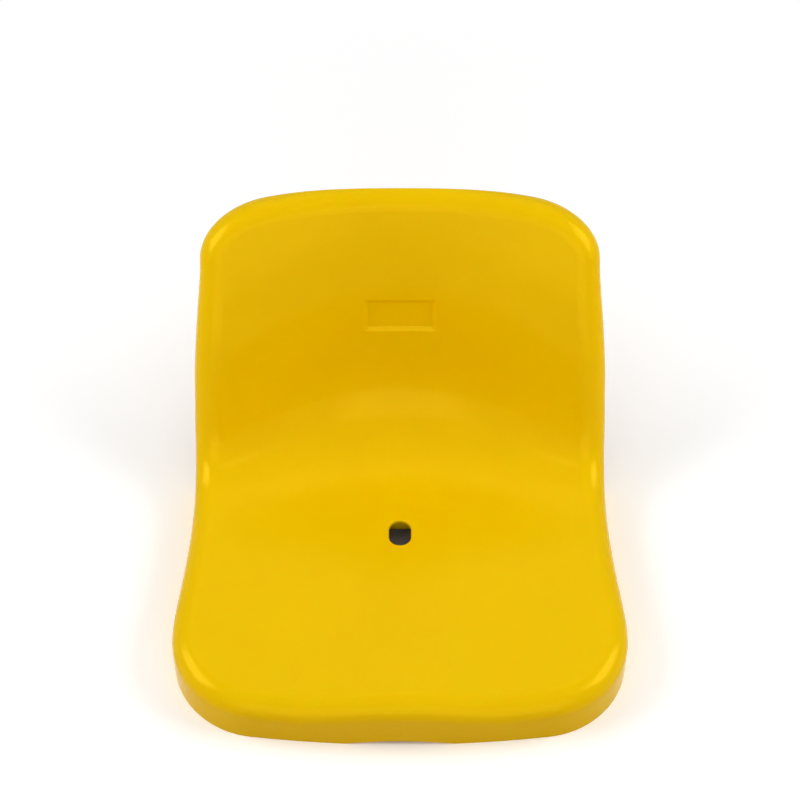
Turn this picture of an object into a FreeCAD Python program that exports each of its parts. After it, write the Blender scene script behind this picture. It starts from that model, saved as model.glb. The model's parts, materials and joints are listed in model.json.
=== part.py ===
import FreeCAD, Part
import math
import os

from FreeCAD import Vector

# A fixed low-back stadium seat: one moulded shell with a turned rim, and the steel rails,
# inserts and bolts under its pan that hold it down. All sizes are in millimetres.
# While it is drawn, Y = 0 is the front edge and Z = 0 the plane that the rim stands on.

# Outline of the shell
PAN_WIDTH = 430.0
WAIST_WIDTH = 404.0
BACK_WIDTH = 381.0
BACK_TOP = 308.0
PAN_DEPTH = 382.0
SIDE_SETBACK = 100.0
FRONT_ARC = 1150.0
FRONT_CORNER = 86.0
WIDEST_FROM_FRONT = 100.0
WAIST_FROM_BEND = 10.0
WAIST_STRAIGHT = 20.0
FLARE_START = 0.16
FLARE_END = 0.52
CROWN_ARC = 455.0
TOP_CORNER = 88.0

# Wall, rim and stiffening
WALL = 3.6
RIM_ROLL = 19.0
LOW_BACK_RIM = 30.0
TOP_BACK_RIM = 46.0
HEEL_FROM_BEND = 10.0
REAR_WALL_FROM_BEND = 46.0
REAR_WALL_BOW = 66.0
RIB_THICKNESS = 2.4
RIB_DEPTH = 12.0
RIB_TOP = 105.0
INNER_RIB_SPACING = 84.0

# The skin line in the middle and at the sides, as control points. A point on the pan is its share
# of the pan's depth and its height; one on the back is its share of the rise and its set-back.
MIDDLE_PAN = [(-0.16, 69.0), (0.0, 64.0), (0.18, 56.0), (0.39, 45.0), (0.58, 37.0), (0.75, 30.0),
              (0.92, 46.0)]
MIDDLE_BACK = [(0.21, -8.0), (0.45, 0.0), (0.71, 15.0), (0.98, 43.0), (1.16, 66.0)]
SIDE_PAN = [(-0.20, 54.0), (0.0, 54.0), (0.20, 54.0), (0.41, 55.0), (0.60, 55.0), (0.79, 53.0),
            (0.96, 58.0)]
SIDE_BACK = [(0.16, 6.0), (0.37, 27.0), (0.62, 56.0), (0.94, 112.0), (1.18, 148.0)]
THIGH_DIP = 13.0
THIGH_DIP_FROM_MIDDLE = 95.0
THIGH_DIP_WIDTH = 46.0
THIGH_DIP_SHARE = [1.0, 1.0, 0.8, 0.2]

# Drain hole, and number recess with its height measured square to the mould's draw
DRAIN_WIDTH = 21.5
DRAIN_LENGTH = 31.0
DRAIN_FROM_FRONT = 215.0
DRAIN_EDGE = 2.0
RECESS_WIDTH = 70.0
RECESS_HEIGHT = 32.0
RECESS_DEPTH = 2.2
RECESS_BEVEL = 3.8
RECESS_CENTRE = 167.0
RECESS_BORDER = 4.0

# Fixings under the pan
BOSS_SPACING = 230.0
FRONT_BOSS = 95.0
REAR_BOSS_FROM_BACK = 127.0
BOSS_DIAMETER = 26.0
INSERT_DIAMETER = 12.0
INSERT_WAIST = 10.4
INSERT_FLANGE = 15.0
INSERT_FLANGE_THICKNESS = 1.2
INSERT_LENGTH = 12.0
BOLT_DIAMETER = 8.0
BOLT_LENGTH = 20.0
BOLT_HEAD_FLATS = 13.0
BOLT_HEAD_HEIGHT = 5.3
BOLT_END_ROOM = 1.5
BOLT_HOLE_PLAY = 0.5
THREAD_FIT = 0.05
WASHER_DIAMETER = 16.0
WASHER_THICKNESS = 1.6
SPRING_WASHER_DIAMETER = 14.0
SPRING_WASHER_THICKNESS = 2.0
SPRING_WASHER_SPLIT = 1.5
WASHER_BORE_PLAY = 0.2

# Steel rails and their weld nuts
RAIL_HEIGHT = 20.0
RAIL_CROWN = 30.0
RAIL_FOOT = 25.0
RAIL_GAUGE = 2.5
RAIL_BEND = 2.0
RAIL_END_MARGIN = 30.0
RAIL_END_PLAY = 5.0
RAIL_END_CORNER = 8.0
NUT_THREAD = 10.0
NUT_FLATS = 17.0
NUT_HEIGHT = 8.0
NUT_CHAMFER = 0.8
NUT_SPACING = 160.0
NUT_HOLE_PLAY = 0.5

# The pieces of a two-part mould leave along this slope: one back for one down.
DRAW = Vector(0.0, 1.0, -1.0)
MARGIN = 30.0
SKIN_ROWS = 15
OFFSET_ROWS = 41
OFFSET_COLUMNS = 61

pan_half = PAN_WIDTH / 2
waist_half = WAIST_WIDTH / 2
back_half = BACK_WIDTH / 2
skin_half = max(pan_half, waist_half) + MARGIN
waist_y = PAN_DEPTH - SIDE_SETBACK - WAIST_FROM_BEND
rear_boss = PAN_DEPTH - REAR_BOSS_FROM_BACK
deepest = PAN_DEPTH + MIDDLE_BACK[-1][1] + TOP_BACK_RIM + MARGIN
reach = BACK_TOP + PAN_DEPTH


def line_points(depth, pan, back):
    """Control points of a skin line, front to top, in the plane of depth and height."""
    foot = pan[-1][1]
    rise = BACK_TOP - foot
    points = [(share * depth, height) for share, height in pan]
    return points + [(depth + setback, foot + share * rise) for share, setback in back]


def mirrored(point, side):
    return Vector(side * point.x, point.y, point.z)


def clamped_knots(poles, degree):
    spans = poles - degree
    knots = [i / spans for i in range(spans + 1)]
    return knots, [degree + 1] + [1] * (spans - 1) + [degree + 1]


def even_poles(count, degree):
    """Pole places, 0 to 1, at which a clamped spline runs at an even pace."""
    knots, repeats = clamped_knots(count, degree)
    flat = [knot for knot, repeat in zip(knots, repeats) for _ in range(repeat)]
    return [sum(flat[i + 1:i + degree + 1]) / degree for i in range(count)]


def set_back(x):
    """Share of the sides' set-back at a place across the seat: none in the middle, all at the waist."""
    return 1 - math.cos(math.pi / 2 * abs(x) / waist_half)


def skin_surface():
    """The face that is sat on: dished across, with two dips for the thighs at the front."""
    middle = line_points(PAN_DEPTH, MIDDLE_PAN, MIDDLE_BACK)
    side = line_points(PAN_DEPTH - SIDE_SETBACK, SIDE_PAN, SIDE_BACK)
    dips = THIGH_DIP_SHARE + [0.0] * (len(middle) - len(THIGH_DIP_SHARE))
    rows = []
    for place in even_poles(SKIN_ROWS, 3):
        x = (2 * place - 1) * skin_half
        dish = set_back(x)
        thigh = THIGH_DIP * math.exp(-((abs(x) - THIGH_DIP_FROM_MIDDLE) / THIGH_DIP_WIDTH) ** 2)
        row = []
        for inner, outer, dip in zip(middle, side, dips):
            y = inner[0] + (outer[0] - inner[0]) * dish
            z = inner[1] + (outer[1] - inner[1]) * dish - dip * thigh
            row.append(Vector(x, y, z))
        rows.append(row)
    across, across_repeats = clamped_knots(SKIN_ROWS, 3)
    along, along_repeats = clamped_knots(len(middle), 3)
    surface = Part.BSplineSurface()
    surface.buildFromPolesMultsKnots(
        rows, across_repeats, along_repeats, across, along, False, False, 3, 3)
    return surface


def outward(surface, u, v):
    """The surface's normal on the side of the sitter."""
    normal = surface.normal(u, v)
    return normal if normal.dot(DRAW) < 0 else -normal


def offset_skin(depth):
    """The skin, moved below itself by a depth."""
    surface = skin_surface()
    if depth == 0:
        return surface
    grid = []
    for i in range(OFFSET_ROWS):
        u = i / (OFFSET_ROWS - 1)
        row = []
        for j in range(OFFSET_COLUMNS):
            v = j / (OFFSET_COLUMNS - 1)
            row.append(surface.value(u, v) - outward(surface, u, v) * depth)
        grid.append(row)
    moved = Part.BSplineSurface()
    moved.interpolate(grid)
    return moved


def ease_curve(start, end, direction):
    """A curve from a wide or a narrow end to the waist, tangent to both sides."""
    run = direction * (end - start).dot(direction)
    curve = Part.BezierCurve()
    curve.setPoles([start, start + run * FLARE_START, end - run * FLARE_END, end])
    return curve.toShape()


def straight(start, end):
    return Part.LineSegment(start, end).toShape()


def corner_arc(centre, start, end, radius, side):
    halfway = ((start - centre) + (end - centre)).normalize()
    points = [mirrored(p, side) for p in (start, centre + halfway * radius, end)]
    return Part.Arc(*points).toShape()


def closed_face(edges):
    return Part.Face(Part.Wire(Part.__sortEdges__(edges)))


def plan_outline(inset):
    """What the pan covers, seen from above, as a tall prism."""
    half = pan_half - inset
    waist = waist_half - inset
    corner = FRONT_CORNER - inset
    big = FRONT_ARC - inset
    centre = Vector(half - corner, FRONT_ARC - math.sqrt((big - corner) ** 2 - (half - corner) ** 2), 0)
    middle = Vector(0, FRONT_ARC, 0)
    arc_end = middle + (centre - middle).normalize() * big
    side_start = Vector(half, centre.y, 0)
    widest = Vector(half, max(WIDEST_FROM_FRONT, centre.y + 1), 0)
    waist_start = Vector(waist, waist_y, 0)
    rear = Vector(waist, deepest, 0)
    edges = [Part.Arc(mirrored(arc_end, -1), Vector(0, inset, 0), arc_end).toShape()]
    for side in (1, -1):
        edges.append(corner_arc(centre, arc_end, side_start, corner, side))
        edges.append(straight(mirrored(side_start, side), mirrored(widest, side)))
        edges.append(ease_curve(mirrored(widest, side), mirrored(waist_start, side), Vector(0, 1, 0)))
        edges.append(straight(mirrored(waist_start, side), mirrored(rear, side)))
    edges.append(straight(rear, mirrored(rear, -1)))
    face = closed_face(edges)
    return face.extrude(Vector(0, 0, 2 * reach)).translated(Vector(0, 0, -reach))


def back_outline(inset):
    """What the back covers, seen from the front, swept along the draw of the mould.

    Below the waist it is wider than the pan, so that only the plan outline trims the pan there.
    """
    half = back_half - inset
    waist = waist_half - inset
    corner = TOP_CORNER - inset
    big = CROWN_ARC - inset
    wide = skin_half + MARGIN
    plane_y = PAN_DEPTH + MIDDLE_BACK[-2][1]
    top = BACK_TOP - inset * DRAW.Length
    crown = Vector(0, 0, top - big)
    centre = Vector(half - corner, 0, crown.z + math.sqrt((big - corner) ** 2 - (half - corner) ** 2))
    arc_end = crown + (centre - crown).normalize() * big
    side_top = Vector(half, 0, centre.z)
    step = waist_y + SIDE_PAN[-1][1] + WAIST_STRAIGHT - plane_y
    taper_start = Vector(waist, 0, step + WAIST_STRAIGHT)
    low = -2 * reach
    edges = [Part.Arc(mirrored(arc_end, -1), Vector(0, 0, top), arc_end).toShape()]
    for side in (1, -1):
        edges.append(corner_arc(centre, side_top, arc_end, corner, side))
        edges.append(ease_curve(mirrored(side_top, side), mirrored(taper_start, side), Vector(0, 0, -1)))
        knee = mirrored(Vector(waist, 0, step), side)
        shoulder = mirrored(Vector(wide, 0, step), side)
        foot = mirrored(Vector(wide, 0, low), side)
        edges.append(straight(mirrored(taper_start, side), knee))
        edges.append(straight(knee, shoulder))
        edges.append(straight(shoulder, foot))
    edges.append(straight(Vector(-wide, 0, low), Vector(wide, 0, low)))
    face = closed_face(edges).translated(Vector(0, plane_y, 0) - DRAW * reach)
    return face.extrude(DRAW * (2 * reach))


def rim_zone():
    """Seen from the side, all that the rim may fill: a flat foot, a round heel, a band up the back."""
    side = line_points(PAN_DEPTH - SIDE_SETBACK, SIDE_PAN, SIDE_BACK)[len(SIDE_PAN):]
    heel = Vector(0, PAN_DEPTH - SIDE_SETBACK - HEEL_FROM_BEND, 0)
    points = [heel]
    for number, (y, z) in enumerate(side):
        share = number / (len(side) - 1)
        points.append(Vector(0, y + LOW_BACK_RIM + share * (TOP_BACK_RIM - LOW_BACK_RIM), z))
    curve = Part.BSplineCurve()
    curve.interpolate(Points=points, InitialTangent=Vector(0, 1, 0), FinalTangent=points[-1] - points[-2])
    front_top = Vector(0, -2 * MARGIN, points[-1].z)
    front_low = Vector(0, -2 * MARGIN, 0)
    edges = [curve.toShape(), straight(points[-1], front_top), straight(front_top, front_low),
             straight(front_low, heel)]
    wide = skin_half + 2 * MARGIN
    return closed_face(edges).extrude(Vector(2 * wide, 0, 0)).translated(Vector(-wide, 0, 0))


def under_skin(depth):
    """All that lies under the skin, seen along the draw."""
    return offset_skin(depth).toShape().extrude(DRAW * reach)


def seat_block(inset):
    """The seat as if it were solid far down, with its upper edge rolled over."""
    block = under_skin(inset).common(plan_outline(inset)).common(back_outline(inset)).Solids[0]
    skin = [face for face in block.Faces if isinstance(face.Surface, Part.BSplineSurface)][0]
    return block.makeFillet(RIM_ROLL - inset, skin.OuterWire.Edges).Solids[0]


def box_between(low, high):
    size = high - low
    return Part.makeBox(size.x, size.y, size.z, low)


def boss_places():
    """Name and place of each fixing, on top of its rail."""
    places = []
    for end, y in (("front", FRONT_BOSS), ("rear", rear_boss)):
        for hand, side in (("left", -1), ("right", 1)):
            places.append((end + "_" + hand, Vector(side * BOSS_SPACING / 2, y, RAIL_HEIGHT)))
    return places


def nut_places():
    middle = (FRONT_BOSS + rear_boss) / 2
    off_rail = (RAIL_CROWN + RAIL_FOOT) / 2
    places = []
    for end, y in (("front", middle - NUT_SPACING / 2), ("rear", middle + NUT_SPACING / 2)):
        for hand, side in (("left", -1), ("right", 1)):
            x = side * (BOSS_SPACING / 2 - off_rail)
            places.append((end + "_" + hand, Vector(x, y, RAIL_GAUGE)))
    return places


def lengthwise_bar(x):
    """A plate along the seat that ends on the back in a slope along the draw."""
    low = -MARGIN
    corners = [(low, low), (deepest, low), (deepest, RIB_TOP - (deepest - PAN_DEPTH)),
               (PAN_DEPTH, RIB_TOP), (low, RIB_TOP)]
    outline = [Vector(x - RIB_THICKNESS / 2, y, z) for y, z in corners]
    return Part.Face(Part.makePolygon(outline + outline[:1])).extrude(Vector(RIB_THICKNESS, 0, 0))


def pan_ribs():
    """Ribs that run along and across under the pan, a set depth below its inner face."""
    half = RIB_THICKNESS / 2
    behind_drain = DRAIN_FROM_FRONT + DRAIN_LENGTH / 2 + half
    bars = [lengthwise_bar(side * x) for x in (INNER_RIB_SPACING / 2, BOSS_SPACING / 2) for side in (-1, 1)]
    for y in (FRONT_BOSS, behind_drain, rear_boss):
        low = Vector(-skin_half, y - half, -MARGIN)
        bars.append(box_between(low, Vector(skin_half, y + half, RIB_TOP)))
    hollow = under_skin(WALL).translated(DRAW * RIB_DEPTH)
    return [bar.cut(hollow) for bar in bars]


def wall_line(x):
    """Where the rear face of the rear wall crosses a line along the seat."""
    return PAN_DEPTH - REAR_WALL_FROM_BEND - REAR_WALL_BOW * set_back(x)


def rear_wall():
    """An upright wall under the bend of the skin, which closes the rim behind the pan."""
    faces = []
    for behind in (-WALL, 0.0):
        curve = Part.BSplineCurve()
        across = [(2 * i / (SKIN_ROWS - 1) - 1) * skin_half for i in range(SKIN_ROWS)]
        curve.interpolate([Vector(x, wall_line(x) + behind, 0) for x in across])
        faces.append(curve)
    front, rear = faces
    edges = [front.toShape(), rear.toShape(), straight(front.StartPoint, rear.StartPoint),
             straight(front.EndPoint, rear.EndPoint)]
    return closed_face(edges).extrude(Vector(0, 0, RIB_TOP))


def skin_point(surface, across, rise, depth):
    """A point this deep under the skin, placed across the seat and square to the draw from the
    recess's middle."""
    u = (across / skin_half + 1) / 2
    low, high = 0.0, 1.0
    for _ in range(40):
        v = (low + high) / 2
        point = surface.value(u, v)
        if point.y + point.z < PAN_DEPTH + RECESS_CENTRE + rise * DRAW.Length:
            low = v
        else:
            high = v
    return surface.value(u, high) - outward(surface, u, high) * depth


def skin_block(width, height, top, bottom, bevel):
    """A block that follows the skin between two depths. Its outline is the given size at the skin and
    gets smaller by the bevel on each side for each recess depth below it."""
    surface = skin_surface()
    arcs = []
    for depth in (top, bottom):
        inset = bevel * depth / RECESS_DEPTH
        half_width = width / 2 - inset
        for rise in (inset - height / 2, height / 2 - inset):
            points = [skin_point(surface, across, rise, depth) for across in (-half_width, 0, half_width)]
            arcs.append(Part.Arc(*points).toShape())
    top_low, top_high, bottom_low, bottom_high = arcs
    pairs = [(top_low, top_high), (bottom_low, bottom_high), (top_low, bottom_low), (top_high, bottom_high)]
    for end in (0, -1):
        corners = [arc.Vertexes[end].Point for arc in arcs]
        pairs.append((straight(corners[0], corners[1]), straight(corners[2], corners[3])))
    shell = Part.makeShell([Part.makeRuledSurface(one, other) for one, other in pairs])
    shell.sewShape()
    block = Part.makeSolid(shell)
    return block if block.Volume > 0 else block.reversed()


def bosses():
    height = PAN_DEPTH
    radius = BOSS_DIAMETER / 2
    return [Part.makeCylinder(radius, height, place) for _, place in boss_places()]


def drain_hole():
    """An upright slot with round ends."""
    radius = DRAIN_WIDTH / 2
    half = DRAIN_LENGTH / 2 - radius
    low = Vector(-radius, DRAIN_FROM_FRONT - half, 0)
    slot = Part.makeBox(DRAIN_WIDTH, 2 * half, BACK_TOP, low)
    for y in (DRAIN_FROM_FRONT - half, DRAIN_FROM_FRONT + half):
        slot = slot.fuse(Part.makeCylinder(radius, BACK_TOP, Vector(0, y, 0)))
    return slot.removeSplitter()


def rounded_drain(shell):
    """Takes the sharp edge off the drain hole where it meets the skin."""
    skin = skin_surface()
    hole = drain_hole().BoundBox
    hole.enlarge(1.0)
    edges = []
    for edge in shell.Edges:
        middle = edge.valueAt((edge.FirstParameter + edge.LastParameter) / 2)
        on_skin = (skin.value(*skin.parameter(middle)) - middle).Length < 0.01
        if on_skin and hole.isInside(middle):
            edges.append(edge)
    return shell.makeFillet(DRAIN_EDGE, edges)


def insert_body():
    """The outside of a threaded insert: a flange, and a waist that the plastic grips."""
    band = (INSERT_LENGTH - INSERT_FLANGE_THICKNESS) / 3
    body = Part.makeCylinder(INSERT_FLANGE / 2, INSERT_FLANGE_THICKNESS)
    level = INSERT_FLANGE_THICKNESS
    for diameter in (INSERT_DIAMETER, INSERT_WAIST, INSERT_DIAMETER):
        body = body.fuse(Part.makeCylinder(diameter / 2, band, Vector(0, 0, level)))
        level += band
    return body.removeSplitter()


def bolt_end():
    """How far a bolt's end stands above the rail."""
    return BOLT_LENGTH - SPRING_WASHER_THICKNESS - WASHER_THICKNESS - RAIL_GAUGE


def seat_shell():
    pad = skin_block(RECESS_WIDTH + 2 * RECESS_BORDER, RECESS_HEIGHT + 2 * RECESS_BORDER,
                     WALL / 2, WALL + RECESS_DEPTH, 0.0)
    inside = pan_ribs() + bosses() + [rear_wall(), pad]
    hollow = seat_block(WALL).cut(inside)
    past_rim = under_skin(WALL).cut([rim_zone()] + inside)
    shell = seat_block(0.0).cut([hollow, past_rim])
    shell = shell.cut(drain_hole())
    shell = shell.cut(skin_block(RECESS_WIDTH, RECESS_HEIGHT, -RECESS_DEPTH, RECESS_DEPTH, RECESS_BEVEL))
    for _, place in boss_places():
        shell = shell.cut(insert_body().translated(place))
        room = Part.makeCylinder(BOLT_DIAMETER / 2 + BOLT_HOLE_PLAY, bolt_end() + BOLT_END_ROOM, place)
        shell = shell.cut(room)
    shell = max(shell.Solids, key=lambda solid: solid.Volume)
    return rounded_drain(shell)


def threaded_insert():
    bore = Part.makeCylinder(BOLT_DIAMETER / 2 + THREAD_FIT, INSERT_LENGTH)
    return insert_body().cut(bore)


def hexagon(flats, height, low):
    radius = flats / math.sqrt(3)
    corners = [Vector(radius * math.sin(math.radians(60 * i)), radius * math.cos(math.radians(60 * i)), low)
               for i in range(7)]
    return Part.Face(Part.makePolygon(corners)).extrude(Vector(0, 0, height))


def cornered(prism, flats, low, high, chamfer_low, chamfer_high):
    """A hexagon with its corners turned off in a cone at either end."""
    corner = flats / math.sqrt(3)
    flat = flats / 2 * 0.98
    drop = (corner - flat) * math.tan(math.radians(30))
    turned = Part.makeCylinder(corner, high - low, Vector(0, 0, low))
    if chamfer_high:
        cone = Part.makeCone(corner, flat, drop, Vector(0, 0, high - drop))
        turned = turned.cut(Part.makeCylinder(corner, drop, Vector(0, 0, high - drop)).cut(cone))
    if chamfer_low:
        cone = Part.makeCone(flat, corner, drop, Vector(0, 0, low))
        turned = turned.cut(Part.makeCylinder(corner, drop, Vector(0, 0, low)).cut(cone))
    return prism.common(turned)


def hex_bolt():
    """Head down, with the face under its head at Z = 0."""
    head = hexagon(BOLT_HEAD_FLATS, BOLT_HEAD_HEIGHT, -BOLT_HEAD_HEIGHT)
    head = cornered(head, BOLT_HEAD_FLATS, -BOLT_HEAD_HEIGHT, 0.0, True, False)
    radius = BOLT_DIAMETER / 2
    tip = BOLT_DIAMETER / 8
    shank = Part.makeCylinder(radius, BOLT_LENGTH - tip)
    point = Part.makeCone(radius, radius - tip, tip, Vector(0, 0, BOLT_LENGTH - tip))
    return head.fuse([shank, point]).removeSplitter()


def ring(outer, thickness):
    disc = Part.makeCylinder(outer / 2, thickness)
    return disc.cut(Part.makeCylinder(BOLT_DIAMETER / 2 + WASHER_BORE_PLAY, thickness))


def spring_washer():
    """A ring with a slanted split."""
    washer = ring(SPRING_WASHER_DIAMETER, SPRING_WASHER_THICKNESS)
    blade = Part.makeBox(SPRING_WASHER_SPLIT, SPRING_WASHER_DIAMETER, 4 * SPRING_WASHER_THICKNESS)
    blade.translate(Vector(-SPRING_WASHER_SPLIT / 2, 0, -1.5 * SPRING_WASHER_THICKNESS))
    blade.rotate(Vector(0, 0, SPRING_WASHER_THICKNESS / 2), Vector(0, 1, 0), 30)
    return washer.cut(blade)


def flat_washer():
    return ring(WASHER_DIAMETER, WASHER_THICKNESS)


def weld_nut():
    nut = cornered(hexagon(NUT_FLATS, NUT_HEIGHT, 0.0), NUT_FLATS, 0.0, NUT_HEIGHT, False, True)
    nut = nut.cut(Part.makeCylinder(NUT_THREAD / 2, NUT_HEIGHT))
    mouth = Part.makeCone(NUT_THREAD / 2, NUT_THREAD / 2 + NUT_CHAMFER, NUT_CHAMFER,
                          Vector(0, 0, NUT_HEIGHT - NUT_CHAMFER))
    return nut.cut(mouth)


def rail_section():
    """Top-hat section, drawn across X at Y = 0: two feet, two webs and a crown."""
    crown = RAIL_CROWN / 2
    foot = crown + RAIL_FOOT
    high = RAIL_HEIGHT
    gauge = RAIL_GAUGE
    right = [(foot, 0), (foot, gauge), (crown, gauge), (crown, high)]
    left = [(-x, z) for x, z in reversed(right)]
    inner = [(-foot, 0), (-crown + gauge, 0), (-crown + gauge, high - gauge),
             (crown - gauge, high - gauge), (crown - gauge, 0)]
    outline = [Vector(x, 0, z) for x, z in right + left + inner[1:]]
    return Part.Face(Part.makePolygon(outline + outline[:1]))


def mounting_rail(side):
    """A bent steel rail with rounded feet and its bolt and nut holes."""
    start = FRONT_BOSS - RAIL_END_MARGIN
    outer_edge = BOSS_SPACING / 2 + RAIL_CROWN / 2 + RAIL_FOOT
    length = wall_line(outer_edge) - WALL - RAIL_END_PLAY - start
    rail = rail_section().extrude(Vector(0, length, 0))
    crown = RAIL_CROWN / 2
    outer_bends = [(crown, RAIL_HEIGHT), (crown - RAIL_GAUGE, 0.0)]
    inner_bends = [(crown - RAIL_GAUGE, RAIL_HEIGHT - RAIL_GAUGE), (crown, RAIL_GAUGE)]
    for places, radius in ((outer_bends, RAIL_BEND + RAIL_GAUGE), (inner_bends, RAIL_BEND)):
        rail = rail.makeFillet(radius, long_edges(rail, places, length))
    corners = [edge for edge in rail.Edges
               if abs(edge.Length - RAIL_GAUGE) < 0.01 and edge.BoundBox.ZLength > RAIL_GAUGE / 2
               and abs(abs(edge.CenterOfMass.x) - crown - RAIL_FOOT) < 0.01]
    rail = rail.makeFillet(RAIL_END_CORNER, corners)
    rail.translate(Vector(side * BOSS_SPACING / 2, start, 0))
    bolt_hole = Part.makeCylinder(BOLT_DIAMETER / 2 + BOLT_HOLE_PLAY, RAIL_HEIGHT)
    for _, place in boss_places():
        rail = rail.cut(bolt_hole.translated(Vector(place.x, place.y, 0)))
    nut_hole = Part.makeCylinder(NUT_THREAD / 2 + NUT_HOLE_PLAY, RAIL_GAUGE)
    for _, place in nut_places():
        rail = rail.cut(nut_hole.translated(Vector(place.x, place.y, 0)))
    return rail


def long_edges(rail, places, length):
    """The edges that run the whole length of the rail through the given places."""
    found = []
    for edge in rail.Edges:
        middle = edge.CenterOfMass
        full_length = abs(edge.Length - length) < 0.01
        for x, z in places:
            if full_length and abs(abs(middle.x) - x) < 0.01 and abs(middle.z - z) < 0.01:
                found.append(edge)
    return found


def all_pieces():
    pieces = {"seat_shell": seat_shell()}
    for hand, side in (("left", -1), ("right", 1)):
        pieces["mounting_rail_" + hand] = mounting_rail(side)
    under_rail = RAIL_HEIGHT - RAIL_GAUGE
    for name, place in boss_places():
        washer_low = under_rail - WASHER_THICKNESS
        spring_low = washer_low - SPRING_WASHER_THICKNESS
        for kind, shape, level in (("threaded_insert", threaded_insert(), RAIL_HEIGHT),
                                   ("flat_washer", flat_washer(), washer_low),
                                   ("spring_washer", spring_washer(), spring_low),
                                   ("rail_bolt", hex_bolt(), spring_low)):
            pieces[kind + "_" + name] = shape.translated(Vector(place.x, place.y, level))
    for name, place in nut_places():
        pieces["weld_nut_" + name] = weld_nut().translated(place)
    return pieces


def main():
    """Writes every piece, centred on the middle of the shell's depth."""
    pieces = all_pieces()
    box = pieces["seat_shell"].optimalBoundingBox(False, False)
    centring = Vector(0, -(box.YMin + box.YMax) / 2, 0)
    os.makedirs("parts", exist_ok=True)
    for name, shape in pieces.items():
        shape.translated(centring).exportStep("parts/" + name + ".step")
        print(name, len(shape.Solids), shape.isValid(), round(shape.Volume))
    size = [round(length, 2) for length in (box.XLength, box.YLength, box.ZLength)]
    print("shell", size, "moved by", round(centring.y, 4))


main()
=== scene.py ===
"""Looks and stage of a moulded stadium seat that is bolted to two steel rails."""

import json
import math

import bpy
from bpy.props import FloatProperty, FloatVectorProperty, PointerProperty
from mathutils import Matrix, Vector

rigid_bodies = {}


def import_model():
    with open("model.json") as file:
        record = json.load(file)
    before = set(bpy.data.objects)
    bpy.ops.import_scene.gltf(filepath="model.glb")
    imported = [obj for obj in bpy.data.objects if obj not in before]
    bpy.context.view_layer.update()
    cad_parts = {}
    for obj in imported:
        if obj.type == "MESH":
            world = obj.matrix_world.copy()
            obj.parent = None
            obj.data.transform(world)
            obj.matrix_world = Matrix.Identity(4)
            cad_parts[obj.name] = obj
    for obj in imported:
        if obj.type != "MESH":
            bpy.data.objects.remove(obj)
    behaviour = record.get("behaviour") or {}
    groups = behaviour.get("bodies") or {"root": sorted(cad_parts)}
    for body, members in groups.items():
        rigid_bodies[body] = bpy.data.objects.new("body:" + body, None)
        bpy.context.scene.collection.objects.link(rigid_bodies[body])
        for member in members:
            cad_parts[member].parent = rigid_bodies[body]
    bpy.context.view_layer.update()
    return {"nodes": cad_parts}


bl_info = {
    "name": "Stadium Seat Looks",
    "version": (1, 0, 0),
    "blender": (4, 5, 0),
    "location": "View3D > Sidebar > Seat",
    "description": "Finishes and stage for a moulded stadium seat on steel rails",
    "category": "Object",
}

# The row's own objects come from the frame, so whatever a new file starts with goes first.
for leftover in list(bpy.data.objects):
    bpy.data.objects.remove(leftover)
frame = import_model()
NODES = frame["nodes"]

# Side of the photograph, in pixels.
IMAGE_SIDE = 800
# Width of the camera's sensor, in millimetres.
SENSOR_WIDTH = 36.0
# The noise textures seldom leave this range.
NOISE_LOW = 0.3
NOISE_HIGH = 0.7
WHITE = (1.0, 1.0, 1.0, 1.0)


def mm(value):
    """Millimetres as metres."""
    return value / 1000


def linear(code):
    """An sRGB hex colour as linear red, green and blue."""
    channels = [int(code[i:i + 2], 16) / 255 for i in (1, 3, 5)]
    return tuple(c / 12.92 if c <= 0.04045 else ((c + 0.055) / 1.055) ** 2.4 for c in channels)


def opaque(colour):
    """Red, green and blue with full alpha."""
    return (*colour, 1.0)


def add_node(tree, kind, settings=None, inputs=None):
    """Adds a node. A setting is an attribute; an input is a plain value or another node's socket."""
    node = tree.nodes.new(kind)
    for name, value in (settings or {}).items():
        setattr(node, name, value)
    for name, value in (inputs or {}).items():
        socket = node.inputs[name]
        if isinstance(value, bpy.types.NodeSocket):
            tree.links.new(value, socket)
        else:
            socket.default_value = value
    return node


def new_material(name):
    """An empty material, and its node tree."""
    material = bpy.data.materials.new(name)
    material.use_nodes = True
    material.node_tree.nodes.clear()
    return material, material.node_tree


def show_surface(tree, shader):
    """Makes the shader the material's surface."""
    add_node(tree, "ShaderNodeOutputMaterial", inputs={"Surface": shader})


def nodes_of(*kinds):
    """Names of the CAD nodes that start with one of these words."""
    return [name for name in sorted(NODES) if name.startswith(kinds)]


def dress(nodes, material):
    """Gives the CAD nodes one finish, and leaves their meshes as they are."""
    for node in nodes:
        mesh = NODES[node].data
        mesh.materials.clear()
        mesh.materials.append(material)


class SeatShellSettings(bpy.types.PropertyGroup):
    colour: FloatVectorProperty(
        name="Plastic colour", description="Colour that the plastic is dyed right through",
        subtype="COLOR", size=3, min=0.0, max=1.0, default=linear("#E8BE00"))
    roughness: FloatProperty(
        name="Roughness", description="Blur of the skin's reflections",
        subtype="FACTOR", min=0.0, max=1.0, default=0.18)
    rubbed: FloatProperty(
        name="Rubbed", description="How far handling moves the roughness up and down",
        subtype="FACTOR", min=0.0, max=0.1, default=0.02)
    peel_size: FloatProperty(
        name="Peel size", description="Width of one swell in the moulded skin",
        subtype="DISTANCE", unit="LENGTH", min=mm(0.5), max=mm(20), default=mm(5))
    peel_depth: FloatProperty(
        name="Peel depth", description="Height of the swells in the moulded skin",
        subtype="DISTANCE", unit="LENGTH", min=0.0, max=mm(1), default=mm(0.008))


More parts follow.
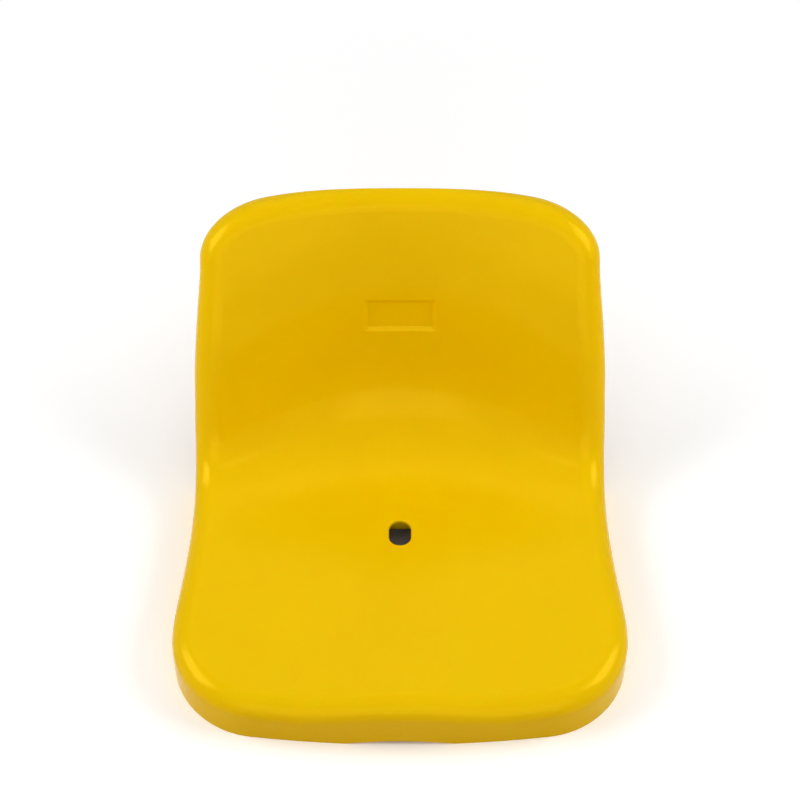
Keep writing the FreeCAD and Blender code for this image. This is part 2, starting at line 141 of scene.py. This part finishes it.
class MetalSettings(bpy.types.PropertyGroup):
    rail_colour: FloatVectorProperty(
        name="Galvanised colour", description="Colour of the hot-dip zinc on the rails",
        subtype="COLOR", size=3, min=0.0, max=1.0, default=linear("#AEB2B5"))
    bolt_colour: FloatVectorProperty(
        name="Zinc plate colour", description="Colour of the bright zinc plate on the fasteners",
        subtype="COLOR", size=3, min=0.0, max=1.0, default=linear("#C6CACE"))
    insert_colour: FloatVectorProperty(
        name="Brass colour", description="Colour of the threaded inserts",
        subtype="COLOR", size=3, min=0.0, max=1.0, default=linear("#D8B368"))
    spangle_size: FloatProperty(
        name="Spangle size", description="Width of one zinc crystal on the rails",
        subtype="DISTANCE", unit="LENGTH", min=mm(1), max=mm(30), default=mm(9))


class StageSettings(bpy.types.PropertyGroup):
    elevation: FloatProperty(
        name="Camera elevation", description="Angle of the view above the horizon",
        subtype="ANGLE", unit="ROTATION", default=math.radians(54))
    distance: FloatProperty(
        name="Camera distance", description="From the lens to the point it circles",
        subtype="DISTANCE", unit="LENGTH", min=0.5, default=2.3)
    target_height: FloatProperty(
        name="Target height", description="Height of the point that the camera circles",
        subtype="DISTANCE", unit="LENGTH", default=mm(100))
    lens: FloatProperty(
        name="Lens", description="Focal length on a 36 mm sensor",
        subtype="DISTANCE_CAMERA", unit="CAMERA", min=10.0, default=108.4)
    floor_side: FloatProperty(
        name="Floor side", description="Side of the square of paper",
        subtype="DISTANCE", unit="LENGTH", min=2.0, default=60.0)
    floor_colour: FloatVectorProperty(
        name="Floor colour", description="Pale paper under the seat",
        subtype="COLOR", size=3, min=0.0, max=1.0, default=linear("#FCFCFC"))
    floor_lift: FloatProperty(
        name="Floor lift", description="How much whiter the paper is shown than it is lit",
        subtype="FACTOR", min=1.0, max=1.5, default=1.15)
    bounce_colour: FloatVectorProperty(
        name="Bounce colour", description="What the floor throws back at the seat",
        subtype="COLOR", size=3, min=0.0, max=1.0, default=linear("#C2A68A"))
    shadow_reach: FloatProperty(
        name="Shadow reach", description="How far from its middle the paper shows its shadows in full",
        subtype="DISTANCE", unit="LENGTH", min=0.0, default=0.4)
    white_reach: FloatProperty(
        name="White reach", description="How far from its middle the paper has faded to plain white",
        subtype="DISTANCE", unit="LENGTH", min=0.1, default=0.8)
    fill: FloatProperty(
        name="Fill", description="Strength of the light that the surround gives the seat",
        subtype="FACTOR", min=0.0, max=1.0, default=0.34)


class SEAT_OT_shell(bpy.types.Operator):
    """Dresses the shell in moulded plastic"""
    bl_idname = "seat.shell"
    bl_label = "Seat shell"

    def execute(self, context):
        dress(["seat_shell"], moulded_polypropylene(context.scene.seat_shell))
        return {"FINISHED"}


class SEAT_OT_rails(bpy.types.Operator):
    """Dresses the rails and their weld nuts in galvanised steel"""
    bl_idname = "seat.rails"
    bl_label = "Mounting rails"

    def execute(self, context):
        dress(nodes_of("mounting_rail", "weld_nut"), galvanised_steel(context.scene.seat_metal))
        return {"FINISHED"}


class SEAT_OT_fasteners(bpy.types.Operator):
    """Dresses the bolts and washers in bright zinc plate"""
    bl_idname = "seat.fasteners"
    bl_label = "Bolts and washers"

    def execute(self, context):
        fasteners = nodes_of("rail_bolt", "flat_washer", "spring_washer")
        dress(fasteners, zinc_plated_steel(context.scene.seat_metal))
        return {"FINISHED"}


class SEAT_OT_inserts(bpy.types.Operator):
    """Dresses the threaded inserts in turned brass"""
    bl_idname = "seat.inserts"
    bl_label = "Threaded inserts"

    def execute(self, context):
        dress(nodes_of("threaded_insert"), turned_brass(context.scene.seat_metal))
        return {"FINISHED"}


class SEAT_OT_stage(bpy.types.Operator):
    """Sets the floor, the white surround, the lamps and the camera"""
    bl_idname = "seat.stage"
    bl_label = "Stage"

    def execute(self, context):
        settings = context.scene.seat_stage
        lay_floor(settings)
        light_surround(context.scene, settings)
        hang_lamps()
        place_camera(context.scene, settings)
        context.scene.view_settings.view_transform = "Standard"
        return {"FINISHED"}


class SEAT_PT_panel(bpy.types.Panel):
    """Lists the pieces of the seat, and their sizes and colours"""
    bl_label = "Stadium seat"
    bl_idname = "SEAT_PT_panel"
    bl_space_type = "VIEW_3D"
    bl_region_type = "UI"
    bl_category = "Seat"

    def draw(self, context):
        for operator in OPERATORS:
            self.layout.operator(operator.bl_idname)
        for group in (context.scene.seat_shell, context.scene.seat_metal, context.scene.seat_stage):
            box = self.layout.box()
            for name in group.__annotations__:
                box.prop(group, name)


def moulded_polypropylene(settings):
    """Polypropylene, injection moulded in a polished mould: a saturated colour right through,
    a soft gloss that keeps the colour of the dye, and a faint peel that wavers in highlights."""
    material, tree = new_material("polypropylene_moulded")
    place = add_node(tree, "ShaderNodeTexCoord").outputs["Object"]
    peel = add_node(tree, "ShaderNodeTexNoise", inputs={
        "Vector": place, "Scale": 1 / settings.peel_size, "Detail": 2.0, "Roughness": 0.45})
    bump = add_node(tree, "ShaderNodeBump", inputs={
        "Strength": 1.0, "Distance": settings.peel_depth, "Height": peel.outputs["Fac"]})
    # Melt that cools at different speeds leaves clouds a hand wide, hardly seen.
    clouds = add_node(tree, "ShaderNodeTexNoise", inputs={
        "Vector": place, "Scale": 1 / mm(70), "Detail": 3.0, "Roughness": 0.5})
    tone = add_node(tree, "ShaderNodeMapRange", inputs={
        "Value": clouds.outputs["Fac"], "From Min": NOISE_LOW, "From Max": NOISE_HIGH,
        "To Min": 0.985, "To Max": 1.015})
    colour = add_node(tree, "ShaderNodeHueSaturation", inputs={
        "Value": tone.outputs["Result"], "Color": opaque(settings.colour)})
    # Handling and wiping leave the gloss a little uneven.
    rub = add_node(tree, "ShaderNodeTexNoise", inputs={
        "Vector": place, "Scale": 1 / mm(22), "Detail": 4.0, "Roughness": 0.6})
    blur = add_node(tree, "ShaderNodeMapRange", inputs={
        "Value": rub.outputs["Fac"], "From Min": NOISE_LOW, "From Max": NOISE_HIGH,
        "To Min": settings.roughness - settings.rubbed, "To Max": settings.roughness + settings.rubbed})
    # The trace of metal tints the gloss with the dye, as in the photograph, and the low specular
    # level keeps a white veil off the colour. Light goes a few millimetres into the plastic, red
    # the farthest.
    shader = add_node(tree, "ShaderNodeBsdfPrincipled", inputs={
        "Base Color": colour.outputs["Color"],
        "Roughness": blur.outputs["Result"],
        "IOR": 1.49,
        "Metallic": 0.05,
        "Specular IOR Level": 0.03,
        "Subsurface Weight": 0.4,
        "Subsurface Radius": (1.0, 0.3, 0.05),
        "Subsurface Scale": mm(4),
        "Normal": bump.outputs["Normal"]})
    show_surface(tree, shader.outputs["BSDF"])
    return material


def galvanised_steel(settings):
    """Steel strip, bent and hot-dip galvanised: dull grey with large zinc crystals, each of its
    own tone and its own blur, over a skin that froze a little lumpy."""
    material, tree = new_material("steel_galvanised")
    place = add_node(tree, "ShaderNodeTexCoord").outputs["Object"]
    crystals = add_node(tree, "ShaderNodeTexVoronoi", inputs={
        "Vector": place, "Scale": 1 / settings.spangle_size, "Randomness": 1.0})
    shade = add_node(tree, "ShaderNodeSeparateColor", inputs={"Color": crystals.outputs["Color"]})
    tone = add_node(tree, "ShaderNodeMapRange", inputs={
        "Value": shade.outputs["Red"], "To Min": 0.86, "To Max": 1.08})
    colour = add_node(tree, "ShaderNodeHueSaturation", inputs={
        "Value": tone.outputs["Result"], "Color": opaque(settings.rail_colour)})
    blur = add_node(tree, "ShaderNodeMapRange", inputs={
        "Value": shade.outputs["Green"], "To Min": 0.38, "To Max": 0.56})
    skin = add_node(tree, "ShaderNodeTexNoise", inputs={
        "Vector": place, "Scale": 1 / mm(3), "Detail": 3.0})
    bump = add_node(tree, "ShaderNodeBump", inputs={
        "Strength": 1.0, "Distance": mm(0.05), "Height": skin.outputs["Fac"]})
    shader = add_node(tree, "ShaderNodeBsdfPrincipled", inputs={
        "Base Color": colour.outputs["Color"], "Metallic": 1.0,
        "Roughness": blur.outputs["Result"], "Normal": bump.outputs["Normal"]})
    show_surface(tree, shader.outputs["BSDF"])
    return material


def zinc_plated_steel(settings):
    """Cold-formed steel, bright zinc plated: smooth and a little blue, with faint blur where it
    was handled."""
    material, tree = new_material("steel_zinc_plated")
    place = add_node(tree, "ShaderNodeTexCoord").outputs["Object"]
    cloud = add_node(tree, "ShaderNodeTexNoise", inputs={
        "Vector": place, "Scale": 1 / mm(4), "Detail": 3.0})
    tone = add_node(tree, "ShaderNodeMapRange", inputs={
        "Value": cloud.outputs["Fac"], "From Min": NOISE_LOW, "From Max": NOISE_HIGH,
        "To Min": 0.94, "To Max": 1.04})
    colour = add_node(tree, "ShaderNodeHueSaturation", inputs={
        "Value": tone.outputs["Result"], "Color": opaque(settings.bolt_colour)})
    blur = add_node(tree, "ShaderNodeMapRange", inputs={
        "Value": cloud.outputs["Fac"], "From Min": NOISE_LOW, "From Max": NOISE_HIGH,
        "To Min": 0.24, "To Max": 0.36})
    shader = add_node(tree, "ShaderNodeBsdfPrincipled", inputs={
        "Base Color": colour.outputs["Color"], "Metallic": 1.0, "Roughness": blur.outputs["Result"]})
    show_surface(tree, shader.outputs["BSDF"])
    return material


def turned_brass(settings):
    """Free-cutting brass, turned: fine rings left by the tool, and a warm yellow shine."""
    material, tree = new_material("brass_turned")
    place = add_node(tree, "ShaderNodeTexCoord").outputs["Object"]
    rings = add_node(tree, "ShaderNodeTexWave", {"bands_direction": "Z"}, {
        "Vector": place, "Scale": 1 / mm(1.2), "Distortion": 0.4})
    blur = add_node(tree, "ShaderNodeMapRange", inputs={
        "Value": rings.outputs["Fac"], "To Min": 0.22, "To Max": 0.34})
    bump = add_node(tree, "ShaderNodeBump", inputs={
        "Strength": 1.0, "Distance": mm(0.02), "Height": rings.outputs["Fac"]})
    shader = add_node(tree, "ShaderNodeBsdfPrincipled", inputs={
        "Base Color": opaque(settings.insert_colour), "Metallic": 1.0,
        "Roughness": blur.outputs["Result"], "Normal": bump.outputs["Normal"]})
    show_surface(tree, shader.outputs["BSDF"])
    return material


def seen_directly(tree):
    """1 where a camera, mirror or glass ray looks at the surface, else 0."""
    path = add_node(tree, "ShaderNodeLightPath").outputs
    camera_or_mirror = add_node(tree, "ShaderNodeMath", {"operation": "MAXIMUM"}, {
        0: path["Is Camera Ray"], 1: path["Is Glossy Ray"]})
    seen = add_node(tree, "ShaderNodeMath", {"operation": "MAXIMUM"}, {
        0: camera_or_mirror.outputs["Value"], 1: path["Is Transmission Ray"]})
    return seen.outputs["Value"]


def lay_floor(settings):
    """Plain pale paper that keeps the seat's shadow, and fades to the white of the surround away
    from the seat. It throws back less light than it seems to, and warmer light, so that the faces
    that look down stay as dark as in the photograph."""
    bpy.ops.mesh.primitive_plane_add(size=settings.floor_side)
    floor = bpy.context.object
    floor.name = "floor"
    material, tree = new_material("paper_matt")
    lifted = [channel * settings.floor_lift for channel in settings.floor_colour]
    shown = add_node(tree, "ShaderNodeBsdfDiffuse", inputs={"Color": opaque(lifted)})
    white = add_node(tree, "ShaderNodeEmission", inputs={"Color": WHITE, "Strength": 1.0})
    place = add_node(tree, "ShaderNodeTexCoord").outputs["Object"]
    from_middle = add_node(tree, "ShaderNodeVectorMath", {"operation": "LENGTH"}, {0: place})
    fade = add_node(tree, "ShaderNodeMapRange", inputs={
        "Value": from_middle.outputs["Value"],
        "From Min": settings.shadow_reach, "From Max": settings.white_reach})
    paper = add_node(tree, "ShaderNodeMixShader", inputs={
        "Fac": fade.outputs["Result"], 1: shown.outputs["BSDF"], 2: white.outputs["Emission"]})
    thrown = add_node(tree, "ShaderNodeBsdfDiffuse", inputs={"Color": opaque(settings.bounce_colour)})
    mix = add_node(tree, "ShaderNodeMixShader", inputs={
        "Fac": seen_directly(tree), 1: thrown.outputs["BSDF"], 2: paper.outputs["Shader"]})
    show_surface(tree, mix.outputs["Shader"])
    floor.data.materials.append(material)


def light_surround(scene, settings):
    """A white surround to look at, that gives the seat only a soft grey fill."""
    world = bpy.data.worlds.new("surround")
    world.use_nodes = True
    scene.world = world
    tree = world.node_tree
    tree.nodes.clear()
    fill = add_node(tree, "ShaderNodeBackground", inputs={"Color": WHITE, "Strength": settings.fill})
    white = add_node(tree, "ShaderNodeBackground", inputs={"Color": WHITE, "Strength": 1.0})
    mix = add_node(tree, "ShaderNodeMixShader", inputs={
        "Fac": seen_directly(tree), 1: fill.outputs["Background"], 2: white.outputs["Background"]})
    add_node(tree, "ShaderNodeOutputWorld", inputs={"Surface": mix.outputs["Shader"]})


def hang_lamp(name, place, side, watts):
    """A square soft box that faces the middle of the seat."""
    middle = Vector((0.0, 0.0, mm(100)))
    lamp = bpy.data.lights.new(name, "AREA")
    lamp.shape = "SQUARE"
    lamp.size = side
    lamp.energy = watts
    box = bpy.data.objects.new(name, lamp)
    bpy.context.collection.objects.link(box)
    box.location = place
    box.rotation_euler = (middle - Vector(place)).to_track_quat("-Z", "Y").to_euler()


def hang_lamps():
    """One soft box above and behind, a wide low one in front, and one at each side, in metres."""
    hang_lamp("box_behind", place=(0.0, 1.7, 2.4), side=2.0, watts=7.0)
    hang_lamp("box_front", place=(0.0, -3.0, 1.1), side=3.0, watts=28.0)
    hang_lamp("box_left", place=(-1.6, -0.1, 1.3), side=1.2, watts=20.5)
    hang_lamp("box_right", place=(1.6, -0.1, 1.3), side=1.2, watts=20.5)


def place_camera(scene, settings):
    """Looks at the seat as the photograph does; the seat stands a little low in the picture."""
    camera = bpy.data.cameras.new("camera")
    camera.sensor_width = SENSOR_WIDTH
    camera.lens = settings.lens
    # In the photograph, the point that the camera circles lies this many pixels below the middle.
    below_middle = 93
    # The lens's shift gives this part of them, and the camera's tilt gives the rest.
    shifted = 28
    camera.shift_y = shifted / IMAGE_SIDE
    pixel_slope = SENSOR_WIDTH / IMAGE_SIDE / settings.lens
    raised = math.atan((below_middle - shifted) * pixel_slope)
    elevation = settings.elevation
    target = Vector((0.0, 0.0, settings.target_height))
    thing = bpy.data.objects.new("camera", camera)
    bpy.context.collection.objects.link(thing)
    thing.location = target + Vector((0.0, -math.cos(elevation), math.sin(elevation))) * settings.distance
    thing.rotation_euler = (math.pi / 2 - elevation + raised, 0.0, 0.0)
    scene.camera = thing


OPERATORS = [SEAT_OT_shell, SEAT_OT_rails, SEAT_OT_fasteners, SEAT_OT_inserts, SEAT_OT_stage]
CLASSES = [SeatShellSettings, MetalSettings, StageSettings, *OPERATORS, SEAT_PT_panel]


def register():
    for cls in CLASSES:
        bpy.utils.register_class(cls)
    bpy.types.Scene.seat_shell = PointerProperty(type=SeatShellSettings)
    bpy.types.Scene.seat_metal = PointerProperty(type=MetalSettings)
    bpy.types.Scene.seat_stage = PointerProperty(type=StageSettings)


def unregister():
    del bpy.types.Scene.seat_stage
    del bpy.types.Scene.seat_metal
    del bpy.types.Scene.seat_shell
    for cls in reversed(CLASSES):
        bpy.utils.unregister_class(cls)


def main():
    register()
    bpy.ops.seat.shell()
    bpy.ops.seat.rails()
    bpy.ops.seat.fasteners()
    bpy.ops.seat.inserts()
    bpy.ops.seat.stage()


if __name__ == "__main__":
    main()
